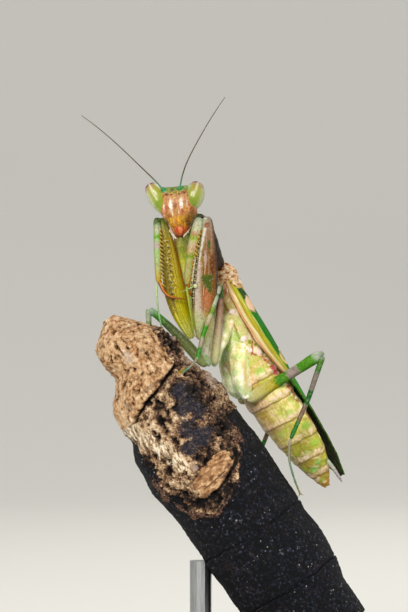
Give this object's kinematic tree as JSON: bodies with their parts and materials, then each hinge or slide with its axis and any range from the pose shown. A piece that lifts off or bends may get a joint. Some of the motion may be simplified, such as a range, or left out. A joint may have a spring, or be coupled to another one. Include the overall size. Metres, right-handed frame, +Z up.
{
  "type": "praying mantis",
  "caption": "Life-size still model of a green and pink flower mantis standing on a short broken branch, on a flat display stand.",
  "frame": {"origin": "middle of the underside of the stand's base", "axes": "+X towards the side that the tail points to, -Y towards the side that the face looks to, +Z up"},
  "size_m": [0.042, 0.032, 0.0693],
  "materials": {
    "eye": "glossy yellow-green with a darker olive streak, a pale rim and a pinkish tip",
    "antenna": "satin, teal-green at the root and dark brown beyond",
    "mouthparts": "satin, orange and red-pink lip with pale pink palps",
    "head": "satin, cream with pink and red-brown stripes, green along the top",
    "foreleg": "satin, yellow-green with orange-brown edges, mint patches and a pinkish outer face",
    "walking_leg": "satin, banded in bright green, dark green and pale purple-white",
    "forebody": "satin, brown-orange with a dark edge",
    "thorax": "satin, cream and pale green with pinkish spots",
    "abdomen": "satin, yellow-green segments with pale hind margins and pink-red edge marks",
    "cercus": "satin, pale green at the root and purple-grey beyond",
    "forewing": "satin leathery wing, dark green with a yellow-green front band and cream-pink patches",
    "bark": "blue-black charred bark below, brown crust and tan broken wood above",
    "stand_wood": "dark stained hardwood, satin",
    "stand_steel": "plain satin steel rod"
  },
  "bodies": {
    "root": {"head": "head", "eye_left": "eye", "eye_right": "eye", "antenna_left": "antenna", "antenna_right": "antenna", "mouth": "mouthparts", "palp_left": "mouthparts", "palp_right": "mouthparts", "neck": "forebody", "prothorax": "forebody", "thorax": "thorax", "abdomen": "abdomen", "cercus_left": "cercus", "cercus_right": "cercus", "forewing_left": "forewing", "forewing_right": "forewing", "fore_coxa_left": "foreleg", "fore_femur_left": "foreleg", "fore_tibia_left": "foreleg", "fore_tarsus_left": "foreleg", "fore_coxa_right": "foreleg", "fore_femur_right": "foreleg", "fore_tibia_right": "foreleg", "fore_tarsus_right": "foreleg", "mid_coxa_left": "walking_leg", "mid_femur_left": "walking_leg", "mid_tibia_left": "walking_leg", "mid_tarsus_left": "walking_leg", "mid_coxa_right": "walking_leg", "mid_femur_right": "walking_leg", "mid_tibia_right": "walking_leg", "mid_tarsus_right": "walking_leg", "hind_coxa_left": "walking_leg", "hind_femur_left": "walking_leg", "hind_tibia_left": "walking_leg", "hind_tarsus_left": "walking_leg", "hind_coxa_right": "walking_leg", "hind_femur_right": "walking_leg", "hind_tibia_right": "walking_leg", "hind_tarsus_right": "walking_leg", "perch": "bark", "stand_base": "stand_wood", "stand_rod_a": "stand_steel", "stand_rod_b": "stand_steel"}
  },
  "joints": []
}
